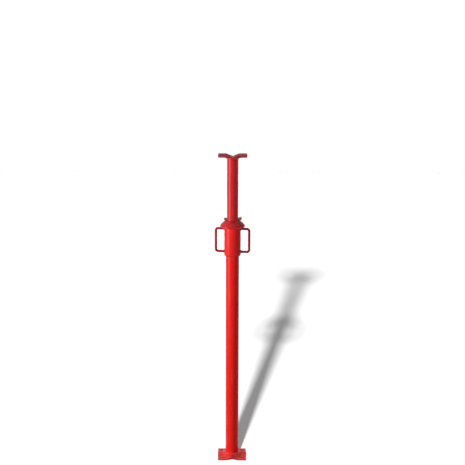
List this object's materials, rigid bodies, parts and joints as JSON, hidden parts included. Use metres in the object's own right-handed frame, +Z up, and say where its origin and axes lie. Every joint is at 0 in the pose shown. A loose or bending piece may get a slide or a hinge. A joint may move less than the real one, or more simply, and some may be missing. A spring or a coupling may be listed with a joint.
{
  "type": "adjustable steel prop",
  "caption": "Telescopic steel prop with square end plates, a covered screw sleeve with two handles, a bearing washer and a bent pin through the inner tube.",
  "frame": {"origin": "centre of the base plate's underside, in the plane of its four flat corners", "axes": "+Z up the prop along both tubes; +X and +Y along the sides of the square plates; the pin lies along X"},
  "size_m": [0.1492, 0.12, 1.304],
  "materials": {
    "outer_tube_paint": "satin red paint on steel tube",
    "inner_tube_paint": "satin red paint, rubbed thin by sliding",
    "sleeve_paint": "satin red paint",
    "handle_paint": "satin red paint on round bar",
    "washer_paint": "red paint worn by the pin",
    "plate_paint": "satin red paint, scuffed at edges",
    "pin_steel": "bare dark steel bar",
    "bare_steel": "bare mild steel",
    "greased_thread": "oiled steel"
  },
  "bodies": {
    "outer_post": {"base_plate": "plate_paint", "base_weld": "plate_paint", "outer_tube": "outer_tube_paint", "guide_bush": "bare_steel", "thread_ring": "greased_thread", "thread_weld": "bare_steel"},
    "washer": {"bearing_washer": "washer_paint"},
    "sleeve": {"sleeve_shell": "sleeve_paint", "sleeve_flange": "sleeve_paint", "flange_weld": "sleeve_paint", "handle_left": "handle_paint", "handle_right": "handle_paint", "handle_welds": "handle_paint"},
    "inner_post": {"inner_tube": "inner_tube_paint", "stop_collar": "bare_steel", "collar_weld": "bare_steel", "head_plate": "plate_paint", "head_weld": "plate_paint"},
    "locking_pin": {"pin": "pin_steel"}
  },
  "joints": [
    {"name": "screw_lift", "type": "slide", "parent": "outer_post", "child": "washer", "axis": [0, 0, 1], "range_m": [0, 0.1001]},
    {"name": "sleeve_turn", "type": "hinge", "parent": "washer", "child": "sleeve", "pos_m": [0, 0, 0.944], "axis": [0, 0, 1], "range_deg": [0, 4500]},
    {"name": "inner_extend", "type": "slide", "parent": "washer", "child": "inner_post", "axis": [0, 0, 1], "range_m": [0, 0.6]},
    {"name": "pin_pull", "type": "slide", "parent": "inner_post", "child": "locking_pin", "axis": [1, 0, 0], "range_m": [0, 0.062]}
  ],
  "couplings": [
    {"joint": "screw_lift", "follows": "sleeve_turn", "m_per_rad": 0.0012732}
  ]
}
